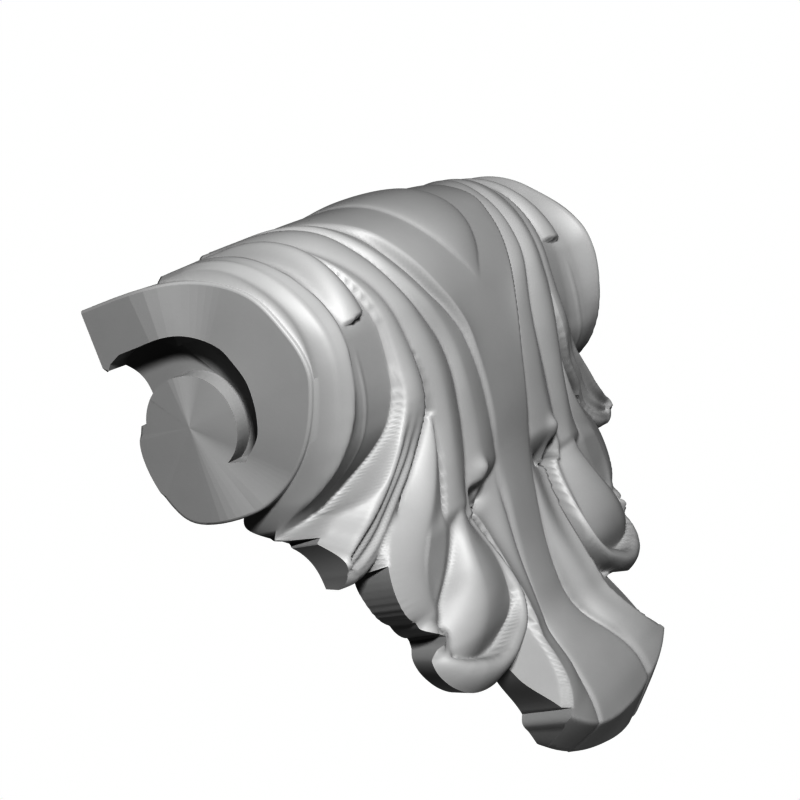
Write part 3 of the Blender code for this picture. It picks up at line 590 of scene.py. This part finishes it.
# plain back of the leaf as F at E, and how far the lower lobes are cut under their rims
BACK = curve((-.12, .45), (.1, .40), (.3, .25), (.4, .12), (.46, .05), (.51, .03), (.69, .28),
             (1.0, .36), (1.34, .42), (1.82, .52), (1.93, .53), (2.3, .54))
CORE_R = .25
LEAST_THICKNESS = .03
UNDERCUT_T = (.35, .7)
UNDERCUT_X, UNDERCUT_F, UNDERCUT_E = .055, .06, .01


def place_back(x, t):
    """point behind the front point, inside the scroll or on the plain back"""
    F, E = place(x, t, np.full(np.shape(x), CORE_R))
    under = ease(*UNDERCUT_T, t)
    F = np.where(t > 0, BACK(E) - UNDERCUT_F * under, F)
    return x + UNDERCUT_X * under, F, E - UNDERCUT_E * under


def to_row(x, F, E, module):
    """(x, F, E) in modules as rows of X, Y, Z in metres"""
    return np.stack([x, WALL_F - F, .5 * (WALL_TOP_E + WALL_LOW_E) - E], -1) * module


def linear(code):
    """sRGB hex as linear red, green, blue and 1"""
    parts = [int(code[i:i + 2], 16) / 255 for i in (1, 3, 5)]
    return [c / 12.92 if c <= .04045 else ((c + .055) / 1.055) ** 2.4 for c in parts] + [1]


def add(tree, kind, settings=(), inputs=()):
    """adds a node, sets its settings and its inputs, and links inputs given as sockets"""
    node = tree.nodes.new(kind)
    for key, value in dict(settings).items():
        setattr(node, key, value)
    for key, value in dict(inputs).items():
        if isinstance(value, bpy.types.NodeSocket):
            tree.links.new(value, node.inputs[key])
        else:
            node.inputs[key].default_value = value
    return node


CLOUD_SIZE, CLOUD_DETAIL, CLOUD_ROUGHNESS = .035, 4.0, .55
GRAIN_SIZE, GRAIN_DETAIL, GRAIN_ROUGHNESS = .0011, 2.0, .6
GRAIN_DEPTH, GRAIN_STRENGTH = .00012, .12
SHEEN_ROUGHNESS = .52
SHEEN_LEVEL = .3
STONE_IOR = 1.5


def honed_limestone(size):
    """Close-grained grey limestone, honed: a matt grey with a faint sheen on the ribs and a fine
    cloudy mottle a few centimetres across."""
    mat = bpy.data.materials.new("honed grey limestone")
    mat.use_nodes = True
    tree = mat.node_tree
    tree.nodes.clear()
    position = add(tree, "ShaderNodeTexCoord").outputs["Object"]
    cloud = add(tree, "ShaderNodeTexNoise", inputs={
        "Vector": position, "Scale": 1 / CLOUD_SIZE, "Detail": CLOUD_DETAIL,
        "Roughness": CLOUD_ROUGHNESS})
    grain = add(tree, "ShaderNodeTexNoise", inputs={
        "Vector": position, "Scale": 1 / GRAIN_SIZE, "Detail": GRAIN_DETAIL,
        "Roughness": GRAIN_ROUGHNESS})
    body = add(tree, "ShaderNodeMix", {"data_type": "RGBA"}, {"Factor": cloud.outputs["Fac"]})
    tones = {"A": linear(size.stone_dark), "B": linear(size.stone_light)}
    for socket in body.inputs:
        if socket.type == "RGBA":
            socket.default_value = tones[socket.name]
    colour = [out for out in body.outputs if out.type == "RGBA"][0]
    bump = add(tree, "ShaderNodeBump", inputs={
        "Height": grain.outputs["Fac"], "Strength": GRAIN_STRENGTH, "Distance": GRAIN_DEPTH})
    shader = add(tree, "ShaderNodeBsdfPrincipled", inputs={
        "Base Color": colour, "Roughness": SHEEN_ROUGHNESS, "IOR": STONE_IOR,
        "Specular IOR Level": SHEEN_LEVEL, "Normal": bump.outputs["Normal"]})
    add(tree, "ShaderNodeOutputMaterial", inputs={"Surface": shader.outputs["BSDF"]})
    return mat


class CorbelSettings(bpy.types.PropertyGroup):
    module: bpy.props.FloatProperty(
        name="Module", description="Length that all the carving is set out in",
        default=.088, min=.01, unit="LENGTH")
    half_width: bpy.props.FloatProperty(
        name="Half Width", description="Half the width across the front, in modules",
        default=1.57, min=.5)
    step: bpy.props.FloatProperty(
        name="Carving Step", description="Spacing of the carved surface, in modules",
        default=.0116, min=.005)
    pocket: bpy.props.FloatProperty(
        name="Pocket Depth", description="Depth of the sunk turn in the scroll's ends, in modules",
        default=.06, min=.01)
    dish: bpy.props.FloatProperty(
        name="Dish",
        description="How far the eye stands out beyond the rim of the scroll's ends, in modules",
        default=.075, min=0)
    chamfer: bpy.props.FloatProperty(
        name="Rim Chamfer", description="Worn rim of the scroll's ends, in modules",
        default=.014, min=.001)
    stone_light: bpy.props.StringProperty(
        name="Light Stone", description="Lighter tone of the stone, sRGB hex",
        default="#8C8C8C")
    stone_dark: bpy.props.StringProperty(
        name="Dark Stone", description="Darker tone of the stone, sRGB hex",
        default="#848484")


class StudioSettings(bpy.types.PropertyGroup):
    floor_size: bpy.props.FloatProperty(
        name="Floor Size", description="Side of the square floor",
        default=8.0, min=1.0, unit="LENGTH")
    floor_drop: bpy.props.FloatProperty(
        name="Floor Drop", description="Distance of the floor below the wall face",
        default=1.6, min=.1, unit="LENGTH")
    lens: bpy.props.FloatProperty(
        name="Lens", description="Focal length for a 36 mm sensor, in millimetres",
        default=85.5, min=10)
    key_watts: bpy.props.FloatProperty(
        name="Key Light", description="Power of the key light, in watts", default=108.0, min=0)
    contrast: bpy.props.FloatProperty(
        name="Gamma", description="Gamma of the view, below 1 for deeper shade",
        default=.5, min=.2, max=2)
    sky: bpy.props.FloatProperty(
        name="Sky", description="Strength of the even light from all round", default=.03, min=0)


def deselect():
    """leaves edit mode and selects nothing"""
    if bpy.context.object and bpy.context.object.mode != "OBJECT":
        bpy.ops.object.mode_set(mode="OBJECT")
    bpy.ops.object.select_all(action="DESELECT")


def pick(ob):
    """makes ob the one selected object"""
    deselect()
    bpy.context.view_layer.objects.active = ob
    ob.select_set(True)


def pick_parts(ob, kind, wanted):
    """in edit mode, selects the edges or faces of ob that are wanted"""
    bpy.ops.mesh.select_mode(type=kind)
    bpy.ops.mesh.select_all(action="DESELECT")
    bm = bmesh.from_edit_mesh(ob.data)
    for part in bm.edges if kind == "EDGE" else bm.faces:
        if wanted(part):
            part.select_set(True)
    bmesh.update_edit_mesh(ob.data)


def vertex_rows(ob):
    """the places of ob's vertices as rows"""
    flat = np.empty(len(ob.data.vertices) * 3)
    ob.data.vertices.foreach_get("co", flat)
    return flat.reshape(-1, 3)


def apply(ob, kind, **settings):
    """adds a modifier and applies it"""
    pick(ob)
    mod = ob.modifiers.new(kind.lower(), kind)
    for key, value in settings.items():
        setattr(mod, key, value)
    bpy.ops.object.modifier_apply(modifier=mod.name)


def slab(name, outline, start, end, module):
    """outline in (F, E), filled and extruded across from start to end"""
    deselect()
    bpy.ops.mesh.primitive_circle_add(vertices=len(outline), radius=1, fill_type="NGON")
    ob = bpy.context.object
    ob.name = name
    p = np.array(outline)
    rows = to_row(np.full(len(p), start), p[:, 0], p[:, 1], module)
    for v, co in zip(ob.data.vertices, rows):
        v.co = co
    bpy.ops.object.mode_set(mode="EDIT")
    bpy.ops.mesh.select_all(action="SELECT")
    reach = ((end - start) * module, 0, 0)
    bpy.ops.mesh.extrude_region_move(TRANSFORM_OT_translate={"value": reach})
    bpy.ops.mesh.select_all(action="SELECT")
    bpy.ops.mesh.normals_make_consistent(inside=False)
    bpy.ops.object.mode_set(mode="OBJECT")
    ob.location = (0, 0, 0)
    return ob


def smooth_outline(points, corners, steps, passes=0):
    """closed outline rounded through its points and evened out, kept sharp at the corners"""
    p = np.array(points, float)
    out = []
    n = len(p)
    for k in range(n):
        a, b = p[k], p[(k + 1) % n]
        before = p[k - 1] if k not in corners else 2 * a - b
        after = p[(k + 2) % n] if (k + 1) % n not in corners else 2 * b - a
        for s in np.arange(steps) / steps:
            out.append(.5 * (2 * a + (b - before) * s + (2 * before - 5 * a + 4 * b - after) * s * s
                             + (3 * a - before - 3 * b + after) * s ** 3))
    out = np.array(out)
    free = np.ones(len(out), bool)
    free[[k * steps for k in corners]] = False
    for _ in range(passes):
        even = .25 * np.roll(out, 1, 0) + .5 * out + .25 * np.roll(out, -1, 0)
        out[free] = even[free]
    return out


def model_scroll(size):
    """the rolled end block: ends dished outwards to the eye, the turn sunk beside it"""
    w, module = size.half_width, size.module
    outline = smooth_outline(SCROLL, (0, len(SCROLL) - 1), ROUNDING_STEPS, ROUNDING_PASSES)
    scroll = slab("scroll", outline, -w, w, module)
    for v in scroll.data.vertices:
        stand = WALL_F - v.co.y / module
        v.co.x = math.copysign(w - size.dish * float(ease(*DISH_F, stand)), v.co.x) * module
    pick(scroll)
    bpy.ops.object.mode_set(mode="EDIT")

    def on_rim(edge):
        mid = (edge.verts[0].co + edge.verts[1].co) / 2
        return abs(mid.x) > w * module / 2 and mid.y < RIM_FROM_Y * module

    pick_parts(scroll, "EDGE", on_rim)
    bpy.ops.mesh.bevel(offset=size.chamfer * module, segments=BEVEL_SEGMENTS, affect="EDGES")
    pick_parts(scroll, "FACE", lambda face: len(face.verts) > MANY_SIDES)
    bpy.ops.mesh.poke()
    for v in bmesh.from_edit_mesh(scroll.data).verts:
        if len(v.link_edges) > MANY_SPOKES:
            v.co = to_row(math.copysign(w, v.co.x), 0, EYE_E, module)
    bmesh.update_edit_mesh(scroll.data)
    bpy.ops.object.mode_set(mode="OBJECT")
    arc = [(EYE_RADIUS * math.cos(v), EYE_E + EYE_RADIUS * math.sin(v))
           for v in np.linspace(math.radians(TURN_FROM), math.radians(TURN_TO), TURN_STEPS)]
    band = smooth_outline(BAND, (0, len(BAND) - 1), ROUNDING_STEPS)[:-ROUNDING_STEPS]
    pocket = THROAT + [tuple(q) for q in band] + [BAND[-1]] + arc + [THROAT_LOW]
    for side in (-1, 1):
        floor = side * (w - size.dish - size.pocket)
        cutter = slab("cutter", pocket, floor, side * (w + CUTTER_REACH), module)
        apply(scroll, "BOOLEAN", operation="DIFFERENCE", object=cutter, solver="MANIFOLD")
        bpy.data.objects.remove(cutter, do_unlink=True)
    return scroll


def onto_outline(x, t, step):
    """points near the edge of the leaf, moved by up to about a step to where its cover ends"""
    mx, mt = x, t
    d = SLOPE_STEP
    for _ in range(OUTLINE_PASSES):
        c = surface(mx, mt)[1]
        gx = (surface(mx + d, mt)[1] - surface(mx - d, mt)[1]) / (2 * d)
        gt = (surface(mx, mt + d)[1] - surface(mx, mt - d)[1]) / (2 * d)
        g = np.maximum(gx * gx + gt * gt, LEAST_SLOPE)
        mx = mx - np.clip(c * gx / g, -step, step)
        mt = mt - np.clip(c * gt / g, -step, step)
        away = np.hypot(mx - x, mt - t)
        w = np.minimum(1, FARTHEST * step / np.maximum(away, NO_DISTANCE))
        mx, mt = x + (mx - x) * w, t + (mt - t) * w
    return mx, np.maximum(mt, LEAF_START_T)


def model_leaf(size):
    """a grid laid over the front, carved by its stand-off, trimmed to the outline and backed"""
    step, module = size.step, size.module
    nx = 2 * int(math.ceil(LEAF_HALF_WIDTH / step))
    nt = int(math.ceil((LEAF_END_T - LEAF_START_T) / step))
    deselect()
    bpy.ops.mesh.primitive_grid_add(x_subdivisions=nx, y_subdivisions=nt, size=2)
    leaf = bpy.context.object
    leaf.name = PIECE
    grid = vertex_rows(leaf)
    x = grid[:, 0] * nx * step / 2
    t = LEAF_START_T + (grid[:, 1] + 1) / 2 * nt * step
    cover = surface(x, t)[1]
    faces = np.empty(len(leaf.data.polygons) * 4, int)
    leaf.data.polygons.foreach_get("vertices", faces)
    faces = faces.reshape(-1, 4)
    kept = (cover[faces] > 0).sum(1) >= 2
    used = np.zeros(len(grid), bool)
    used[faces[kept].ravel()] = True
    dropped = np.zeros(len(grid), bool)
    dropped[faces[~kept].ravel()] = True
    edge = used & dropped
    x[edge], t[edge] = onto_outline(x[edge], t[edge], step)
    F, E = place(x, t, surface(x, t)[0])
    leaf.data.vertices.foreach_set("co", to_row(x, F, E, module).ravel())
    bpy.ops.object.mode_set(mode="EDIT")
    pick_parts(leaf, "FACE", lambda face: not kept[face.index])
    bpy.ops.mesh.delete(type="FACE")
    bpy.ops.mesh.select_mode(type="VERT")
    bpy.ops.mesh.select_all(action="DESELECT")
    bpy.ops.mesh.select_loose()
    bpy.ops.mesh.delete(type="VERT")
    bpy.ops.object.mode_set(mode="OBJECT")
    front = len(leaf.data.vertices)
    x, t, F = x[used], t[used], F[used]
    if front != len(x):
        raise RuntimeError("the trimmed grid lost count of its vertices")
    apply(leaf, "SOLIDIFY", thickness=SHEET_THICKNESS, offset=-1)
    places = vertex_rows(leaf)
    back_x, back_F, back_E = place_back(x, t)
    places[front:] = to_row(back_x, np.minimum(back_F, F - LEAST_THICKNESS), back_E, module)
    leaf.data.vertices.foreach_set("co", places.ravel())
    leaf.data.update()
    pick(leaf)
    bpy.ops.object.mode_set(mode="EDIT")
    bpy.ops.mesh.select_all(action="SELECT")
    bpy.ops.mesh.normals_make_consistent(inside=False)
    bpy.ops.object.mode_set(mode="OBJECT")
    return leaf


def mark_rims(ob, reach, angle):
    """sharpens the edges of long wall faces and leaves the carved front smooth"""
    bm = bmesh.new()
    bm.from_mesh(ob.data)
    walls = {f for f in bm.faces if max(e.calc_length() for e in f.edges) > reach}
    for edge in bm.edges:
        if edge.calc_face_angle(0) > angle and any(face in walls for face in edge.link_faces):
            edge.smooth = False
    bm.to_mesh(ob.data)
    bm.free()


class CORBEL_OT_carving(bpy.types.Operator):
    """Models the scroll and the leaf over it as one carved piece"""
    bl_idname = "corbel.carving"
    bl_label = "Model Carving"

    def execute(self, context):
        size = context.scene.corbel
        scroll = model_scroll(size)
        leaf = model_leaf(size)
        apply(leaf, "BOOLEAN", operation="UNION", object=scroll, solver="MANIFOLD")
        bpy.data.objects.remove(scroll, do_unlink=True)
        if not leaf.data.polygons:
            raise RuntimeError("the scroll and the leaf did not join")
        bm = bmesh.new()
        bm.from_mesh(leaf.data)
        closed = all(edge.is_manifold for edge in bm.edges)
        bm.free()
        if not closed:
            raise RuntimeError("the carving is not one closed surface")
        leaf.data.materials.clear()
        leaf.data.materials.append(honed_limestone(size))
        pick(leaf)
        bpy.ops.object.shade_smooth()
        mark_rims(leaf, WALL_LENGTH * size.module, RIM_ANGLE)
        # the dished ends keep flat facets, as they were cut
        end = (size.half_width - size.dish - END_MARGIN) * size.module
        for face in leaf.data.polygons:
            if abs(face.normal.x) > END_FACING and abs(face.center.x) > end:
                face.use_smooth = False
        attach(leaf, "root")
        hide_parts(NODE)
        return {"FINISHED"}


class CORBEL_OT_studio(bpy.types.Operator):
    """Sets the floor, the sheet behind, the key light and the camera"""
    bl_idname = "corbel.studio"
    bl_label = "Set Studio"

    def execute(self, context):
        room = context.scene.corbel_studio
        deselect()
        bpy.ops.mesh.primitive_plane_add(size=room.floor_size, location=(0, 0, -room.floor_drop))
        floor = context.object
        floor.name = "floor"
        # painted board lit from all round: the camera sees an even white with no shadow on it
        mat = bpy.data.materials.new("lit white board")
        mat.use_nodes = True
        tree = mat.node_tree
        tree.nodes.clear()
        seen = add(tree, "ShaderNodeLightPath").outputs["Is Camera Ray"]
        board = add(tree, "ShaderNodeBsdfDiffuse", inputs={"Color": linear("#F4F4F4")})
        lit = add(tree, "ShaderNodeEmission", inputs={"Color": linear("#FFFFFF"), "Strength": 1.0})
        both = add(tree, "ShaderNodeMixShader", inputs={
            0: seen, 1: board.outputs[0], 2: lit.outputs[0]})
        add(tree, "ShaderNodeOutputMaterial", inputs={"Surface": both.outputs[0]})
        floor.data.materials.append(mat)
        world = bpy.data.worlds.new("studio")
        context.scene.world = world
        world.use_nodes = True
        tree = world.node_tree
        tree.nodes.clear()
        # the sheet behind the object is white to the camera and gives the object only a weak
        # even light
        seen = add(tree, "ShaderNodeLightPath").outputs["Is Camera Ray"]
        weak = add(tree, "ShaderNodeBackground", inputs={
            "Color": linear("#FFFFFF"), "Strength": room.sky})
        white = add(tree, "ShaderNodeBackground", inputs={
            "Color": linear("#FFFFFF"), "Strength": 1.0})
        both = add(tree, "ShaderNodeMixShader", inputs={
            0: seen, 1: weak.outputs[0], 2: white.outputs[0]})
        add(tree, "ShaderNodeOutputWorld", inputs={"Surface": both.outputs[0]})
        toward = KEY_TOWARD.normalized()
        deselect()
        bpy.ops.object.light_add(type="AREA", location=KEY_TARGET + toward * KEY_DISTANCE)
        lamp = context.object
        lamp.name = "key"
        lamp.data.energy = room.key_watts
        lamp.data.shape = "DISK"
        lamp.data.size = KEY_SIZE
        lamp.visible_camera = False
        lamp.rotation_euler = toward.to_track_quat("Z", "Y").to_euler()
        deselect()
        bpy.ops.object.camera_add(
            location=CAMERA_PLACE, rotation=[math.radians(a) for a in CAMERA_TURN])
        camera = context.object
        camera.data.lens = room.lens
        camera.data.sensor_width = SENSOR_WIDTH
        camera.data.clip_start = NEAREST_SEEN
        context.scene.camera = camera
        context.scene.view_settings.view_transform = "Standard"
        context.scene.view_settings.gamma = room.contrast
        return {"FINISHED"}


class CORBEL_PT_panel(bpy.types.Panel):
    """Sizes of the corbel and its studio"""
    bl_idname = "CORBEL_PT_panel"
    bl_label = "Corbel"
    bl_space_type = "VIEW_3D"
    bl_region_type = "UI"
    bl_category = "Corbel"

    def draw(self, context):
        for group in (context.scene.corbel, context.scene.corbel_studio):
            for key in group.__annotations__:
                self.layout.prop(group, key)
        self.layout.operator(CORBEL_OT_carving.bl_idname)
        self.layout.operator(CORBEL_OT_studio.bl_idname)


CLASSES = (CorbelSettings, StudioSettings, CORBEL_OT_carving, CORBEL_OT_studio, CORBEL_PT_panel)


def register():
    for cls in CLASSES:
        bpy.utils.register_class(cls)
    bpy.types.Scene.corbel = bpy.props.PointerProperty(type=CorbelSettings)
    bpy.types.Scene.corbel_studio = bpy.props.PointerProperty(type=StudioSettings)


def unregister():
    del bpy.types.Scene.corbel_studio
    del bpy.types.Scene.corbel
    for cls in reversed(CLASSES):
        bpy.utils.unregister_class(cls)


def main():
    register()
    bpy.ops.corbel.carving()
    bpy.ops.corbel.studio()


if __name__ == "__main__":
    main()
